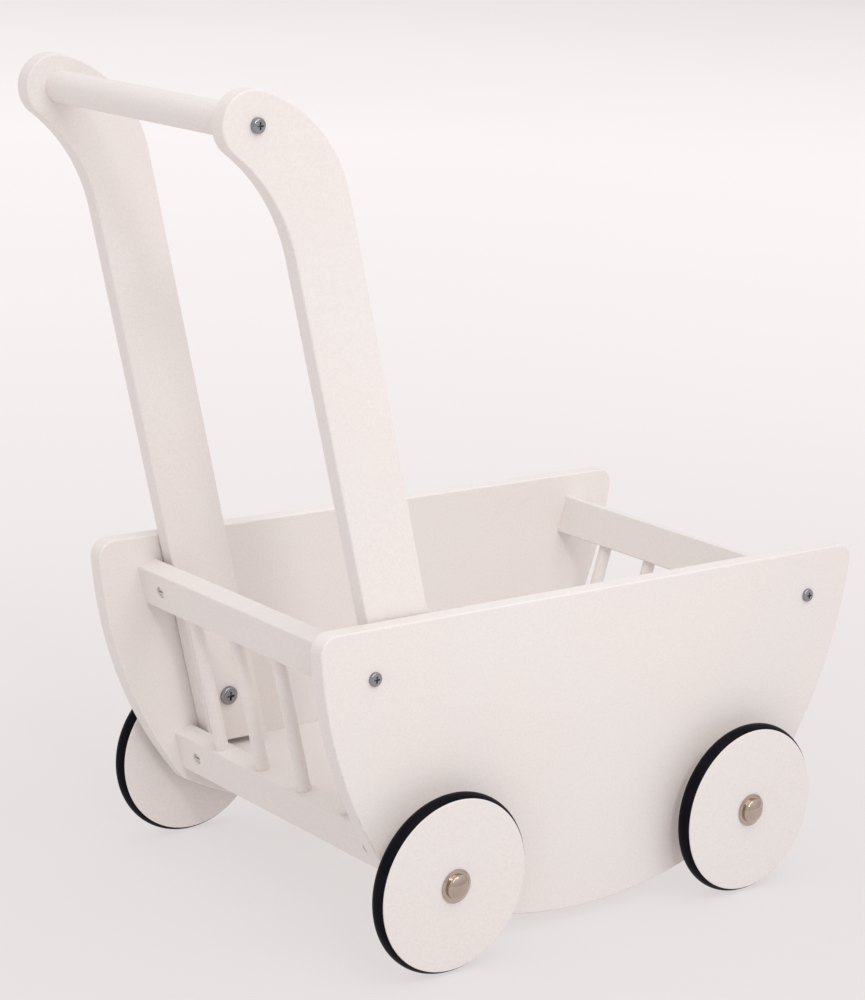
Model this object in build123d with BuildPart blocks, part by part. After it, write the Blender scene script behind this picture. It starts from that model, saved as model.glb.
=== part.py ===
from build123d import *
from math import cos, radians, sin, sqrt, tan
import os

# Wooden doll's stroller, in millimetres. +X is forward, +Y is left, +Z is up.
# The origin is on the ground under the middle of the whole stroller.
# side: +1 is left, -1 is right. end: +1 is the front, -1 is the rear.

# Boards
board = 12.0                  # panels, handle uprights and wheels
edge_round = 1.2              # sanded edges of the boards

# Side panels: boat-shaped outline, symmetric about the middle of the box
box_width = 258.0             # over the outside of the panels
box_x = 34.1                  # middle of the box
panel_length = 452.7
panel_top = 225.5
panel_bottom = 10.1
end_radius = 300.0            # curve of each end
end_centre_z = 245.0
bottom_radius = 322.0         # curve of the underside
top_corner = 11.0
bottom_corner = 45.0

# End frames: two battens and the spindles between them, leaning outwards
lean = 15.0                   # degrees from upright, shared with the handle
rail_thickness = 14.5
rail_height = 27.2
top_rail_z = 194.1
bottom_rail_z = 72.6
top_rail_offset = 184.5       # from the middle of the box
rail_round = 1.0
spindle_count = 4
spindle_d = 9.0
socket_depth = 10.0

# Floor
floor_thickness = 6.0
floor_top = 70.9
groove_depth = 4.0

# Handle
toe_in = 0.7                  # degrees that each upright tips inwards about its foot
upright_width = 45.0
rail_to_upright = 4.0         # between the rails' inner faces and the uprights
upright_foot_z = 75.7
bar_offset = 270.0            # from the middle of the box
bar_z = 524.6
bar_d = 20.0
head_radius = 20.0            # round head
head_back = 2.8               # head's centre from the bar's, across the board to the rear
head_rise = 0.8               # and up along the board
nape_radius = 110.0           # hollow curve behind, under the head
brow_radius = 86.0            # full curve in front, over the shoulder

# Running gear
wheel_radius = 58.5           # over the tyre
disc_radius = 55.8
disc_round = 0.6
wheel_gap = 10.3              # between panel and wheel
rear_axle_offset = 131.9      # from the middle of the box
front_axle_offset = 122.4
axle_d = 8.0
axle_chamfer = 0.6
axle_overhang = 4.5           # past the wheel's outer face, inside the cap
running_clearance = 0.05      # radial, axle in wheel
side_clearance = 0.2          # axial, each side of a wheel
tongue_width = 6.0            # of the tyre, in the groove round the disc
tongue_depth = 3.0
tyre_clearance = 0.03
tyre_setback = 0.8            # of its edges, behind the disc's faces
cap_flange_d = 22.0
cap_flange_thickness = 1.4
cap_dome_d = 16.5
cap_height = 6.6
cap_shoulder = 3.4            # height of the dome's edge
cap_crown_round = 1.6
spacer_d = 14.0

# Fasteners
bolt_d = 6.0
bolt_head_d = 9.0
bolt_head_height = 2.2
bolt_length = 40.0
nut_d = 8.0
nut_length = 12.0
nut_inset = 22.0              # from the rail's end to the cross dowel
screw_d = 5.0
screw_head_d = 13.0
screw_head_height = 3.2
screw_length = 20.0
screw_line = 21.0             # from the upright's rear edge
lower_screw_z = 108.5
upper_screw_z = 180.5
bar_screw_head_d = 9.2
bar_screw_length = 40.0
head_crown = 0.6              # share of a screw head's height that is rounded over
fastener_clearance = 0.03

# Worked out from the driving dimensions
half_width = box_width / 2
inner_half = half_width - board
upright_inner_y = inner_half - board
sin_lean = sin(radians(lean))
cos_lean = cos(radians(lean))
tan_lean = tan(radians(lean))
wheel_inner_y = half_width + wheel_gap
wheel_outer_y = wheel_inner_y + board
spindle_pitch = 2 * inner_half / (spindle_count + 1)
spindle_z = (top_rail_z + bottom_rail_z) / 2
rail_spacing = (top_rail_z - bottom_rail_z) / cos_lean
spindle_length = rail_spacing - rail_height + 2 * socket_depth
nut_recess = (rail_thickness - nut_length) / 2
bar_x = box_x - bar_offset
upright_line_x = box_x - top_rail_offset + rail_thickness / 2 / cos_lean + rail_to_upright / cos_lean


def frame_x(end, z):
    """X of an end frame's middle plane at a height."""
    return box_x + end * (top_rail_offset - (top_rail_z - z) * tan_lean)


def upright_screw_x(z):
    """X of the line of screws up a handle upright, at a height."""
    return upright_line_x + screw_line / cos_lean - (z - top_rail_z) * tan_lean


def along_y(x, y, z, direction):
    """A plane at a point whose normal is +Y or -Y."""
    return Plane(origin=(x, y, z), x_dir=(1, 0, 0), z_dir=(0, direction, 0))


def toed_in(plane, side):
    """A plane on a handle upright, tipped inwards with it about its foot."""
    foot = Pos(0, side * inner_half, upright_foot_z)
    return Plane(foot * Rot(side * toe_in, 0, 0) * foot.inverse() * plane.location)


def board_start(side, outer_y):
    """Y of the face that a board on one side is drawn on, to be extruded towards -Y."""
    return side * (outer_y - board / 2) + board / 2


def slot_planes(end, z):
    """Planes for the two cross dowels of a rail, on its outer face, pointing out."""
    out = Vector(end * cos_lean, 0, -sin_lean)
    face = Vector(frame_x(end, z), 0, z) + out * (rail_thickness / 2)
    return [
        Plane(origin=face + Vector(0, side * (inner_half - nut_inset), 0), x_dir=(0, 1, 0), z_dir=out)
        for side in (-1, 1)
    ]


def upright_screw_planes(side):
    """Planes under the heads of an upright's two screws, facing into the box."""
    return [
        toed_in(along_y(upright_screw_x(z), side * upright_inner_y, z, -side), side)
        for z in (lower_screw_z, upper_screw_z)
    ]


def bar_screw_plane(side):
    """Plane on an upright's outer face, centred on the bar, facing outwards."""
    return toed_in(along_y(bar_x, side * inner_half, bar_z, side), side)


def save(part, name):
    part.label = name
    export_step(part, f"parts/{name}.step")


os.makedirs("parts", exist_ok=True)

# ---------------------------------------------------------------- fasteners


def headed_screw(head_d, head_height, shank_d, length):
    """A pan-head screw: head above the XY plane, shank below it."""
    with BuildPart() as screw:
        Cylinder(head_d / 2, head_height, align=(Align.CENTER, Align.CENTER, Align.MIN))
        fillet(screw.edges().group_by(Axis.Z)[-1], head_height * head_crown)
        Cylinder(shank_d / 2, length, align=(Align.CENTER, Align.CENTER, Align.MAX))
        chamfer(screw.edges().group_by(Axis.Z)[0], shank_d / 8)
        # Cross recess
        with BuildSketch(Plane.XY.offset(head_height)):
            Rectangle(head_d * 0.48, head_d * 0.12)
            Rectangle(head_d * 0.12, head_d * 0.48)
        extrude(amount=-head_height * 0.7, mode=Mode.SUBTRACT)
    return screw.part


rail_bolt = headed_screw(bolt_head_d, bolt_head_height, bolt_d, bolt_length)
upright_screw = headed_screw(screw_head_d, screw_head_height, screw_d, screw_length)
bar_screw = headed_screw(bar_screw_head_d, screw_head_height, screw_d, bar_screw_length)

with BuildPart() as barrel_nut:
    Cylinder(nut_d / 2, nut_length)
    chamfer(barrel_nut.edges().filter_by(GeomType.CIRCLE), 0.5)
    # Bore for the bolt, and a slot that shows its direction
    Cylinder(bolt_d / 2 + fastener_clearance, nut_d * 2, rotation=(0, 90, 0), mode=Mode.SUBTRACT)
    with Locations((0, 0, nut_length / 2)):
        Box(nut_d, 1.2, 2.0, mode=Mode.SUBTRACT)

rail_places = [
    (frame_x(end, z), z, end) for end in (-1, 1) for z in (bottom_rail_z, top_rail_z)
]
axle_places = {"rear": box_x - rear_axle_offset, "front": box_x + front_axle_offset}
sides = {"right": -1, "left": 1}
ends = {"rear": -1, "front": 1}

for side_name, side in sides.items():
    with BuildPart() as rail_bolts:
        with Locations(*[along_y(x, side * half_width, z, side) for x, z, _ in rail_places]):
            add(rail_bolt)
    save(rail_bolts.part, f"rail_bolts_{side_name}")

    with BuildPart() as upright_screws:
        with Locations(*upright_screw_planes(side)):
            add(upright_screw)
    save(upright_screws.part, f"upright_screws_{side_name}")

    with BuildPart() as handlebar_screw:
        with Locations(bar_screw_plane(side)):
            add(bar_screw)
    save(handlebar_screw.part, f"handlebar_screw_{side_name}")

for end_name, end in ends.items():
    nut_planes = slot_planes(end, bottom_rail_z) + slot_planes(end, top_rail_z)
    with BuildPart() as barrel_nuts:
        with Locations(*[p.offset(-nut_recess - nut_length / 2) for p in nut_planes]):
            add(barrel_nut.part)
    save(barrel_nuts.part, f"{end_name}_barrel_nuts")

# ---------------------------------------------------------------- box

# The floor's ends are cut to the lean of the end frames
floor_half_length = frame_x(1, floor_top) - box_x - rail_thickness / 2 / cos_lean

with BuildPart() as floor_board:
    with BuildSketch(Plane.XZ):
        with Locations((box_x, floor_top)):
            Trapezoid(
                2 * floor_half_length, floor_thickness, 90 - lean,
                align=(Align.CENTER, Align.MIN), rotation=180,
            )
    extrude(amount=inner_half + groove_depth, both=True)
save(floor_board.part, "floor_board")

for side_name, side in sides.items():
    with BuildPart() as side_panel:
        with BuildSketch(Plane.XZ.offset(-board_start(side, half_width))) as outline:
            # Each end is an arc whose centre is past the middle of the box
            reach = end_radius - panel_length / 2
            with Locations((box_x + reach, end_centre_z)):
                Circle(end_radius)
            with Locations((box_x - reach, end_centre_z)):
                Circle(end_radius, mode=Mode.INTERSECT)
            with Locations((box_x, panel_bottom + bottom_radius)):
                Circle(bottom_radius, mode=Mode.INTERSECT)
            with Locations((box_x, panel_top)):
                Rectangle(
                    panel_length * 2, panel_top * 2,
                    align=(Align.CENTER, Align.MAX), mode=Mode.INTERSECT,
                )
            corners = outline.vertices().group_by(Axis.Y)
            fillet(corners[-1], top_corner)
            fillet(corners[0], bottom_corner)
        extrude(amount=board)
        outer_edges = side_panel.edges().group_by(Axis.Y)
        fillet(outer_edges[0] + outer_edges[-1], edge_round)
        # Groove that holds the floor's edge
        add(floor_board.part, mode=Mode.SUBTRACT)
        # Axle bores
        with Locations(*[along_y(x, side * half_width, wheel_radius, side) for x in axle_places.values()]):
            Hole(axle_d / 2 + running_clearance)
        # Bolt holes
        with Locations(*[along_y(x, side * half_width, z, side) for x, z, _ in rail_places]):
            Hole(bolt_d / 2 + fastener_clearance)
        # Blind holes for the upright's screws
        with Locations(*upright_screw_planes(side)):
            Hole(screw_d / 2 + fastener_clearance, depth=screw_length)
    save(side_panel.part, f"side_panel_{side_name}")

# ---------------------------------------------------------------- end frames


def spindle_plane(end, y):
    """Plane across a spindle at its middle, with its normal along the spindle."""
    return Plane(
        origin=(frame_x(end, spindle_z), y, spindle_z),
        x_dir=(0, 1, 0),
        z_dir=(end * sin_lean, 0, cos_lean),
    )


spindle_ys = [spindle_pitch * (i - (spindle_count - 1) / 2) for i in range(spindle_count)]

for end_name, end in ends.items():
    for rail_name, rail_z in (("bottom", bottom_rail_z), ("top", top_rail_z)):
        with BuildPart() as rail:
            with BuildSketch(Plane.XZ) as section:
                with Locations((frame_x(end, rail_z), rail_z)):
                    Rectangle(rail_thickness, rail_height, rotation=-end * lean)
                fillet(section.vertices(), rail_round)
            extrude(amount=inner_half, both=True)
            # Sockets for the spindles
            with Locations(*[spindle_plane(end, y) for y in spindle_ys]):
                Cylinder(spindle_d / 2 + fastener_clearance, spindle_length, mode=Mode.SUBTRACT)
            # Bolt bores in the rail's two ends, and the cross dowels' holes
            with Locations(*[
                along_y(frame_x(end, rail_z), side * inner_half, rail_z, side) for side in (-1, 1)
            ]):
                Hole(bolt_d / 2 + fastener_clearance, depth=bolt_length - board + 1)
            with Locations(*slot_planes(end, rail_z)):
                Hole(nut_d / 2 + fastener_clearance, depth=nut_recess + nut_length)
        save(rail.part, f"{end_name}_{rail_name}_rail")

    for number, y in enumerate(spindle_ys, start=1):
        with BuildPart() as spindle:
            with Locations(spindle_plane(end, y)):
                Cylinder(spindle_d / 2, spindle_length)
        save(spindle.part, f"{end_name}_spindle_{number}")

# ---------------------------------------------------------------- handle

# The upright is drawn on a plane that leans with it: x is across the board from its
# rear edge, y is up along it, and the plane's origin is on the top rail's middle height.
upright_dir = Vector(cos_lean, 0, sin_lean)
upright_origin = Vector(upright_line_x, 0, top_rail_z)
to_bar = Vector(bar_x, 0, bar_z) - upright_origin
head = Vector(
    to_bar.dot(upright_dir) - head_back,
    to_bar.dot(Vector(-sin_lean, 0, cos_lean)) + head_rise,
)
nape_reach = nape_radius + head_radius
nape = Vector(-nape_radius, head.Y - sqrt(nape_reach**2 - (nape_radius + head.X)**2))
brow_reach = brow_radius - head_radius
brow_u = upright_width - brow_radius
brow = Vector(brow_u, head.Y - sqrt(brow_reach**2 - (head.X - brow_u)**2))
nape_touch = head + (nape - head).normalized() * head_radius
brow_touch = head + (head - brow).normalized() * head_radius


def foot_point(across):
    """Point of the upright's level foot, at a distance across the board."""
    drop = top_rail_z + across * sin_lean - upright_foot_z
    return Vector(across, -drop / cos_lean)


for side_name, side in sides.items():
    start = upright_origin + Vector(0, board_start(side, inner_half), 0)
    with BuildPart() as handle_upright:
        with BuildSketch(toed_in(Plane(origin=start, x_dir=upright_dir, z_dir=(0, -1, 0)), side)):
            with BuildLine():
                Line(foot_point(0), (0, nape.Y))
                hollow = TangentArc((0, nape.Y), nape_touch, tangent=(0, 1))
                crown = TangentArc(nape_touch, brow_touch, tangent=hollow % 1)
                TangentArc(brow_touch, (upright_width, brow.Y), tangent=crown % 1)
                Line((upright_width, brow.Y), foot_point(upright_width))
                Line(foot_point(upright_width), foot_point(0))
            make_face()
        extrude(amount=board)
        broad_faces = handle_upright.faces().sort_by(SortBy.AREA)[-2:]
        fillet(broad_faces.edges(), edge_round)
        # Hole for the bar's screw, from outside
        with Locations(bar_screw_plane(side)):
            Hole(screw_d / 2 + fastener_clearance, depth=board)
        # Screw holes, from inside
        with Locations(*upright_screw_planes(side)):
            Hole(screw_d / 2 + fastener_clearance, depth=board)
    save(handle_upright.part, f"handle_upright_{side_name}")

# The bar's ends are cut to the uprights' inner faces
bar_ends = [bar_screw_plane(side).offset(-board) for side in (-1, 1)]
with BuildPart() as handlebar:
    with Locations(along_y(bar_x, 0, bar_ends[0].origin.Z, 1)):
        Cylinder(bar_d / 2, box_width)
    for bar_end in bar_ends:
        split(bisect_by=bar_end, keep=Keep.BOTTOM)
    with Locations(*bar_ends):
        Hole(screw_d / 2 + fastener_clearance, depth=bar_screw_length - board)
save(handlebar.part, "handlebar")

# ---------------------------------------------------------------- running gear


def wheel_plane(x, side):
    """Plane at a wheel's mid-thickness, facing outwards."""
    return along_y(x, side * (wheel_inner_y + board / 2), wheel_radius, side)


# Disc and tyre, turned about local Z
with BuildPart() as disc:
    Cylinder(disc_radius, board)
    fillet(disc.edges().filter_by(GeomType.CIRCLE), disc_round)
    with BuildSketch(Plane.XZ):
        with Locations((disc_radius, 0)):
            Rectangle(2 * tongue_depth, tongue_width)
    revolve(axis=Axis.Z, mode=Mode.SUBTRACT)
    Hole(axle_d / 2 + running_clearance)

with BuildPart() as tyre_ring:
    with BuildSketch(Plane.XZ):
        seat = disc_radius + tyre_clearance
        tongue = disc_radius - tongue_depth + tyre_clearance
        half_tongue = tongue_width / 2 - tyre_clearance
        half_tyre = board / 2 - tyre_setback
        with BuildLine():
            ThreePointArc((seat, -half_tyre), (wheel_radius, 0), (seat, half_tyre))
            Polyline(
                (seat, half_tyre), (seat, half_tongue), (tongue, half_tongue),
                (tongue, -half_tongue), (seat, -half_tongue), (seat, -half_tyre),
            )
        make_face()
    revolve(axis=Axis.Z)

# Push-on cap: flange on the XY plane, dome above it, axle pocket from below
with BuildPart() as cap:
    with BuildSketch(Plane.XZ) as cap_profile:
        with BuildLine():
            TangentArc((0, cap_height), (cap_dome_d / 2, cap_shoulder), tangent=(1, 0))
            Polyline(
                (cap_dome_d / 2, cap_shoulder),
                (cap_dome_d / 2, cap_flange_thickness),
                (cap_flange_d / 2 - cap_flange_thickness, cap_flange_thickness),
                (cap_flange_d / 2, cap_flange_thickness / 2),
                (cap_flange_d / 2, 0),
                (0, 0),
                (0, cap_height),
            )
        make_face()
        fillet(cap_profile.vertices().group_by(Axis.Y)[-2], cap_crown_round)
    revolve(axis=Axis.Z)
    Cylinder(
        axle_d / 2 + fastener_clearance, axle_overhang - side_clearance,
        align=(Align.CENTER, Align.CENTER, Align.MIN), mode=Mode.SUBTRACT,
    )

with BuildPart() as spacer:
    Cylinder(spacer_d / 2, wheel_gap - side_clearance, align=(Align.CENTER, Align.CENTER, Align.MIN))
    Hole(axle_d / 2 + running_clearance)
    chamfer(spacer.edges().filter_by(GeomType.CIRCLE), 0.5)

for end_name, axle_x in axle_places.items():
    with BuildPart() as axle:
        with Locations(along_y(axle_x, 0, wheel_radius, 1)):
            Cylinder(axle_d / 2, 2 * (wheel_outer_y + axle_overhang))
        chamfer(axle.edges().filter_by(GeomType.CIRCLE), axle_chamfer)
    save(axle.part, f"{end_name}_axle")

    for side_name, side in sides.items():
        corner = f"{end_name}_{side_name}"
        with BuildPart() as wheel_disc:
            with Locations(wheel_plane(axle_x, side)):
                add(disc.part)
        save(wheel_disc.part, f"wheel_disc_{corner}")

        with BuildPart() as tyre:
            with Locations(wheel_plane(axle_x, side)):
                add(tyre_ring.part)
        save(tyre.part, f"tyre_{corner}")

        with BuildPart() as axle_cap:
            with Locations(along_y(axle_x, side * (wheel_outer_y + side_clearance), wheel_radius, side)):
                add(cap.part)
        save(axle_cap.part, f"axle_cap_{corner}")

        with BuildPart() as axle_spacer:
            with Locations(along_y(axle_x, side * half_width, wheel_radius, side)):
                add(spacer.part)
        save(axle_spacer.part, f"axle_spacer_{corner}")
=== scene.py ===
"""Wooden doll's stroller on a pale studio floor. Metres, in the CAD frame."""

import math

import bpy
from mathutils import Matrix, Vector


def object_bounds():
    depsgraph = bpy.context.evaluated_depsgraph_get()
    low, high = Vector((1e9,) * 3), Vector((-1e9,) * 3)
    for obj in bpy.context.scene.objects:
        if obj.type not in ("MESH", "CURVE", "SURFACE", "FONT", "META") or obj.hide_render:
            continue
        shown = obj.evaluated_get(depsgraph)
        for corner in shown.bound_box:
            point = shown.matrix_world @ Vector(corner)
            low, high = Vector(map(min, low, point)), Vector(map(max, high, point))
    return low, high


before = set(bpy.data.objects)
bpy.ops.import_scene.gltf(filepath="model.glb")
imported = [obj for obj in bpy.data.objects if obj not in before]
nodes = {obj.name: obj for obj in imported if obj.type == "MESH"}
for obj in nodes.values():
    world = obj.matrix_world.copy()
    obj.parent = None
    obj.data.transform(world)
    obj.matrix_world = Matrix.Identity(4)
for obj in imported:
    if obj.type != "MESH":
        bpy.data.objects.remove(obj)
cad_lo, cad_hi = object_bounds()
scene = bpy.context.scene

LEAN = math.radians(15.0)  # of the end frames and the handle, from upright
QUARTER = math.pi / 2


# ---------------------------------------------------------------- node helpers


class Nodes:
    """A material's node tree, with short calls for the nodes used here."""

    def __init__(self, name):
        self.material = bpy.data.materials.new(name)
        self.material.use_nodes = True
        self.tree = self.material.node_tree
        self.shader = self.tree.nodes["Principled BSDF"]
        self.place = self.new("ShaderNodeTexCoord").outputs["Object"]

    def new(self, kind, **values):
        """A new node of a kind, with its settings."""
        node = self.tree.nodes.new(kind)
        for key, value in values.items():
            setattr(node, key, value)
        return node

    def link(self, source, target):
        self.tree.links.new(source, target)

    def noise(self, scale, detail, roughness, place=None):
        """Noise with scale cells to a unit of place, by default a metre."""
        node = self.new("ShaderNodeTexNoise")
        node.inputs["Scale"].default_value = scale
        node.inputs["Detail"].default_value = detail
        node.inputs["Roughness"].default_value = roughness
        self.link(place or self.place, node.inputs["Vector"])
        return node.outputs["Fac"]

    def mapped(self, rotation, scale):
        """Object coordinates turned by rotation, then scaled."""
        turn = self.new("ShaderNodeMapping")
        turn.inputs["Rotation"].default_value = rotation
        self.link(self.place, turn.inputs["Vector"])
        stretch = self.new("ShaderNodeMapping")
        stretch.inputs["Scale"].default_value = scale
        self.link(turn.outputs["Vector"], stretch.inputs["Vector"])
        return stretch.outputs["Vector"]

    def ramp(self, fac, stops):
        """A colour ramp, each stop a position with a colour or a grey value."""
        node = self.new("ShaderNodeValToRGB")
        elements = node.color_ramp.elements
        while len(elements) < len(stops):
            elements.new(0.5)
        for element, (position, value) in zip(elements, stops):
            element.position = position
            colour = value if isinstance(value, tuple) else (value, value, value)
            element.color = (*colour, 1.0)
        self.link(fac, node.inputs["Fac"])
        return node.outputs["Color"]

    def remap(self, fac, low, high, from_low=0.0, from_high=1.0):
        """fac moved from the range from_low to from_high to the range low to high."""
        node = self.new("ShaderNodeMapRange")
        node.inputs["From Min"].default_value = from_low
        node.inputs["From Max"].default_value = from_high
        node.inputs["To Min"].default_value = low
        node.inputs["To Max"].default_value = high
        self.link(fac, node.inputs["Value"])
        return node.outputs["Result"]

    def mix(self, fac, first, second, blend="MIX"):
        """Two colours mixed by fac. Each value is a socket, a colour or a number."""
        node = self.new("ShaderNodeMix", data_type="RGBA", blend_type=blend)
        for socket, value in ((node.inputs[0], fac), (node.inputs[6], first), (node.inputs[7], second)):
            if isinstance(value, bpy.types.NodeSocket):
                self.link(value, socket)
            elif isinstance(value, tuple):
                socket.default_value = (*value, 1.0)
            else:
                socket.default_value = value
        return node.outputs[2]

    def maths(self, operation, first, second):
        node = self.new("ShaderNodeMath", operation=operation)
        for socket, value in zip(node.inputs, (first, second)):
            if isinstance(value, bpy.types.NodeSocket):
                self.link(value, socket)
            else:
                socket.default_value = value
        return node.outputs[0]

    def bump(self, height, distance, strength, under=None):
        node = self.new("ShaderNodeBump")
        node.inputs["Distance"].default_value = distance
        node.inputs["Strength"].default_value = strength
        self.link(height, node.inputs["Height"])
        if under:
            self.link(under, node.inputs["Normal"])
        return node.outputs["Normal"]

    def set(self, **values):
        """Set or link the shader's sockets, their names' spaces written as underscores."""
        for key, value in values.items():
            socket = self.shader.inputs[key.replace("_", " ")]
            if isinstance(value, bpy.types.NodeSocket):
                self.link(value, socket)
            elif isinstance(value, tuple):
                socket.default_value = (*value, 1.0)
            else:
                socket.default_value = value
        return self.material


# ---------------------------------------------------------------- materials

PAINT = (0.850, 0.790, 0.768)
PAINT_COOL = (0.840, 0.795, 0.776)
PAINT_THIN = (0.790, 0.715, 0.670)
GRAIN_STRETCH = (5.0, 90.0, 90.0)  # noise cells per metre, the first along the grain
WORN_EDGE = 0.0011
SHADING_SAMPLES = 6


def painted_wood(name, grain_turn):
    """White satin paint, rolled over sanded wood. grain_turn turns the board's length onto X."""
    m = Nodes(name)
    along = m.mapped(grain_turn, GRAIN_STRETCH)
    figure = m.noise(1.0, 4.0, 0.55, along)
    fibres = m.noise(7.0, 2.0, 0.6, along)
    clouds = m.noise(9.0, 3.0, 0.5)
    peel = m.noise(650.0, 2.0, 0.5)
    pits = m.noise(2100.0, 1.0, 0.5)
    coat = m.mix(m.remap(clouds, 0.0, 1.0, 0.35, 0.65), PAINT, PAINT_COOL)
    speckle = m.ramp(peel, [(0.30, 0.945), (0.70, 1.0)])
    coat = m.mix(1.0, coat, speckle, "MULTIPLY")
    # Paint lies thinner on sanded edges, and the wood's colour comes through there
    edge = m.new("ShaderNodeBevel", samples=SHADING_SAMPLES)
    edge.inputs["Radius"].default_value = WORN_EDGE
    face = m.new("ShaderNodeNewGeometry")
    turn = m.new("ShaderNodeVectorMath", operation="DOT_PRODUCT")
    m.link(edge.outputs["Normal"], turn.inputs[0])
    m.link(face.outputs["Normal"], turn.inputs[1])
    rim = m.remap(turn.outputs["Value"], 1.0, 0.0, 0.80, 0.995)
    rubbed = m.maths("MULTIPLY", rim, m.remap(figure, 0.15, 0.75, 0.35, 0.7))
    colour = m.mix(rubbed, coat, PAINT_THIN)
    # Relief, coarse to fine: the wood's figure and fibres, the roller's orange peel, pinholes
    normal = m.bump(figure, 0.00025, 0.35)
    normal = m.bump(fibres, 0.00008, 0.4, normal)
    normal = m.bump(peel, 0.00012, 0.55, normal)
    normal = m.bump(pits, 0.00004, 0.35, normal)
    m.link(normal, m.shader.inputs["Normal"])
    roughness = m.remap(m.noise(38.0, 3.0, 0.6), 0.40, 0.54, 0.3, 0.7)
    return m.set(Base_Color=colour, Roughness=roughness, IOR=1.46, Specular_IOR_Level=0.42)


def rubber():
    """Black rubber with a violet tint, a painted sheen, greyer where it has bloomed."""
    m = Nodes("tyre_rubber")
    grain = m.noise(1500.0, 3.0, 0.6)
    bloom = m.noise(60.0, 3.0, 0.6)
    # The violet in both colours is a painted sheen; the lighter colour is where the rubber has bloomed
    colour = m.ramp(bloom, [(0.35, (0.0035, 0.003, 0.0055)), (0.72, (0.008, 0.007, 0.012))])
    roughness = m.remap(bloom, 0.38, 0.52)
    m.link(m.bump(grain, 0.00005, 0.6), m.shader.inputs["Normal"])
    return m.set(Base_Color=colour, Roughness=roughness, IOR=1.5, Specular_IOR_Level=0.05)


SMEAR_DULLING = 0.86
SMEAR_ROUGHNESS = 0.05


def plated(name, tint, roughness, scratch):
    """Plated metal with fine scratches of a given strength, and dull smears."""
    m = Nodes(name)
    marks = m.noise(420.0, 4.0, 0.65)
    smears = m.noise(90.0, 3.0, 0.55)
    dulled = tuple(SMEAR_DULLING * channel for channel in tint)
    colour = m.mix(m.remap(smears, 0.0, 1.0, 0.4, 0.7), tint, dulled)
    m.link(m.bump(marks, 0.00003, scratch), m.shader.inputs["Normal"])
    rough = m.remap(smears, roughness, roughness + SMEAR_ROUGHNESS, 0.35, 0.65)
    return m.set(Base_Color=colour, Metallic=1.0, Roughness=rough)


def nylon():
    """Matt white plastic of the wheel spacers."""
    m = Nodes("spacer_nylon")
    grain = m.noise(900.0, 2.0, 0.5)
    colour = m.ramp(m.noise(120.0, 2.0, 0.5), [(0.3, (0.70, 0.69, 0.66)), (0.7, (0.76, 0.75, 0.73))])
    m.link(m.bump(grain, 0.00004, 0.4), m.shader.inputs["Normal"])
    return m.set(Base_Color=colour, Roughness=m.remap(grain, 0.42, 0.55), IOR=1.53)


ALONG_X = painted_wood("paint_grain_lengthwise", (0, 0, 0))
ALONG_Y = painted_wood("paint_grain_crosswise", (0, 0, -QUARTER))
ALONG_REAR = painted_wood("paint_grain_rear_lean", (0, QUARTER - LEAN, 0))
ALONG_FRONT = painted_wood("paint_grain_front_lean", (0, QUARTER + LEAN, 0))
RUBBER = rubber()
# The caps' nickel is tinted darker and tan: a painted reflection of a darker room than this studio
NICKEL = plated("cap_nickel", (0.54, 0.445, 0.38), 0.13, 0.25)
ZINC = plated("screw_zinc", (0.33, 0.335, 0.36), 0.24, 0.5)
BRIGHT = plated("nut_zinc_bright", (0.80, 0.775, 0.76), 0.26, 0.4)
STEEL = plated("axle_steel", (0.55, 0.55, 0.56), 0.34, 0.6)
NYLON = nylon()

# The first row whose start fits a node's name gives its material
LOOKS = [
    ("tyre_", RUBBER),
    ("axle_cap_", NICKEL),
    ("axle_spacer_", NYLON),
    ("front_axle", STEEL),
    ("rear_axle", STEEL),
    ("rail_bolts_", ZINC),
    ("upright_screws_", ZINC),
    ("handlebar_screw_", ZINC),
    ("front_barrel_nuts", BRIGHT),
    ("rear_barrel_nuts", BRIGHT),
    ("rear_spindle_", ALONG_REAR),
    ("front_spindle_", ALONG_FRONT),
    ("handle_upright_", ALONG_REAR),
    ("handlebar", ALONG_Y),
    ("front_top_rail", ALONG_Y),
    ("front_bottom_rail", ALONG_Y),
    ("rear_top_rail", ALONG_Y),
    ("rear_bottom_rail", ALONG_Y),
    ("", ALONG_X),
]

for name, node in nodes.items():
    look = next(material for prefix, material in LOOKS if name.startswith(prefix))
    node.data.materials.clear()
    node.data.materials.append(look)

# ---------------------------------------------------------------- stage

FLOOR_SIZE = 60.0
GLOW_REACH = 25.0
PAPER = (0.900, 0.862, 0.856)
PAPER_LIGHT = (0.915, 0.876, 0.870)
PAPER_DIFFUSE = (0.20, 0.20, 0.20)
PAPER_GLOW = 0.89


def glowing_paper():
    """Paper that glows with painted light, though it is no lamp, so that shadows on it are faint, most
    strongly a few metres out.
    """
    m = Nodes("glowing_paper")
    tone = m.ramp(m.noise(0.8, 2.0, 0.5), [(0.3, PAPER), (0.7, PAPER_LIGHT)])
    reach = m.new("ShaderNodeVectorMath", operation="LENGTH")
    m.link(m.place, reach.inputs[0])
    # Painted light: a pool of glow, dimmer close to the object, strongest a few metres out, fading far off
    glow = m.ramp(
        m.remap(reach.outputs["Value"], 0.0, 1.0, 0.0, GLOW_REACH),
        [(0.012, 0.77), (0.040, 0.86), (0.085, 0.95), (0.17, 1.0), (0.72, 0.57)],
    )
    # A dim diffuse colour under a strong glow: painted light that keeps the floor's shadows faint
    m.set(Base_Color=m.mix(1.0, tone, PAPER_DIFFUSE, "MULTIPLY"), Roughness=0.9, Specular_IOR_Level=0.0)
    return m.set(Emission_Color=m.mix(1.0, tone, glow, "MULTIPLY"), Emission_Strength=PAPER_GLOW)


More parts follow.
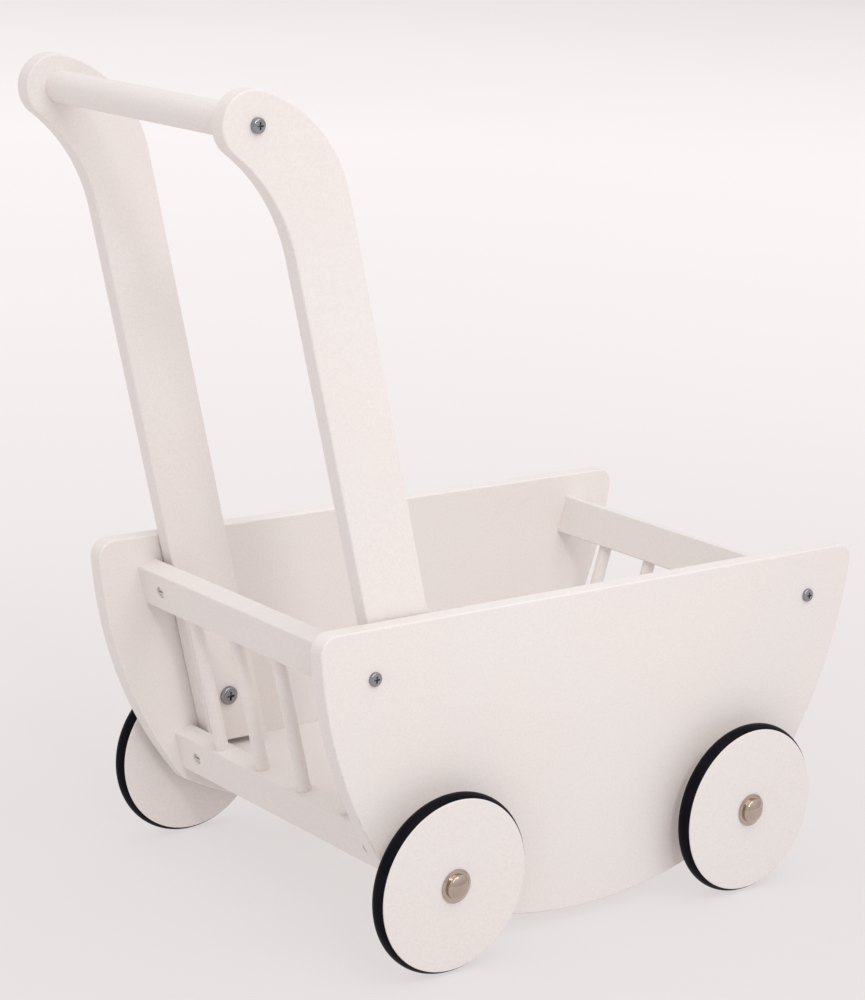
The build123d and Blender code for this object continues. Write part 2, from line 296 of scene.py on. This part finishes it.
bpy.ops.mesh.primitive_plane_add(size=FLOOR_SIZE, location=(0, 0, cad_lo.z))
floor = bpy.context.object
floor.name = "studio_floor"
floor.data.materials.append(glowing_paper())

# ---------------------------------------------------------------- light

WALLS = (0.720, 0.685, 0.675, 1.0)
CEILING = (1.0, 0.99, 0.98, 1.0)
CEILING_HEIGHT = 0.55
SKY_STRENGTH = 0.88


def studio_world():
    """Light from all round, dimmer from the walls, and at its full from CEILING_HEIGHT up."""
    world = bpy.data.worlds.new("studio_world")
    world.use_nodes = True
    tree = world.node_tree
    direction = tree.nodes.new("ShaderNodeTexCoord")
    height = tree.nodes.new("ShaderNodeSeparateXYZ")
    dome = tree.nodes.new("ShaderNodeValToRGB")
    low, high = dome.color_ramp.elements
    low.color = WALLS
    high.position = CEILING_HEIGHT
    high.color = CEILING
    sky = tree.nodes["Background"]
    sky.inputs["Strength"].default_value = SKY_STRENGTH
    tree.links.new(direction.outputs["Generated"], height.inputs["Vector"])
    tree.links.new(height.outputs["Z"], dome.inputs["Fac"])
    tree.links.new(dome.outputs["Color"], sky.inputs["Color"])
    return world


def lamp(name, kind, place, power, **values):
    """A light at place that points at the middle of the object."""
    data = bpy.data.lights.new(name, kind)
    data.energy = power
    for key, value in values.items():
        setattr(data, key, value)
    light = bpy.data.objects.new(name, data)
    scene.collection.objects.link(light)
    light.location = place
    middle = (cad_lo + cad_hi) / 2
    light.rotation_euler = (middle - light.location).to_track_quat("-Z", "Y").to_euler()


scene.world = studio_world()
lamp("high_softbox", "AREA", (0.0, -1.8, 2.8), 23.0, size=2.2)
# The key's narrow soft cone is brightest on the box and falls off over the handle and wheels
lamp(
    "key_spot", "SPOT", (-1.2, -2.9, 2.3), 116.0,
    spot_size=math.radians(13.5), spot_blend=1.0, shadow_soft_size=0.30,
)

# ---------------------------------------------------------------- camera

CAMERA_PLACE = Vector((-1.11039, -1.35822, 0.69393))
AZIMUTH, ELEVATION, ROLL = (math.radians(angle) for angle in (-39.065, 13.973, 2.713))
LENS = 98.533
back = Vector((
    math.sin(AZIMUTH) * math.cos(ELEVATION),
    -math.cos(AZIMUTH) * math.cos(ELEVATION),
    math.sin(ELEVATION),
))
level = Vector((0, 0, 1)).cross(back).normalized()
up = back.cross(level)
right = level * math.cos(ROLL) + up * math.sin(ROLL)
above = up * math.cos(ROLL) - level * math.sin(ROLL)
camera_data = bpy.data.cameras.new("studio_camera")
camera_data.lens = LENS
camera_data.sensor_width = 36.0
camera_data.clip_end = 200.0
camera = bpy.data.objects.new("studio_camera", camera_data)
scene.collection.objects.link(camera)
camera.matrix_world = Matrix.Translation(CAMERA_PLACE) @ Matrix((right, above, back)).transposed().to_4x4()
scene.camera = camera

scene.view_settings.view_transform = "Standard"
scene.view_settings.look = "None"
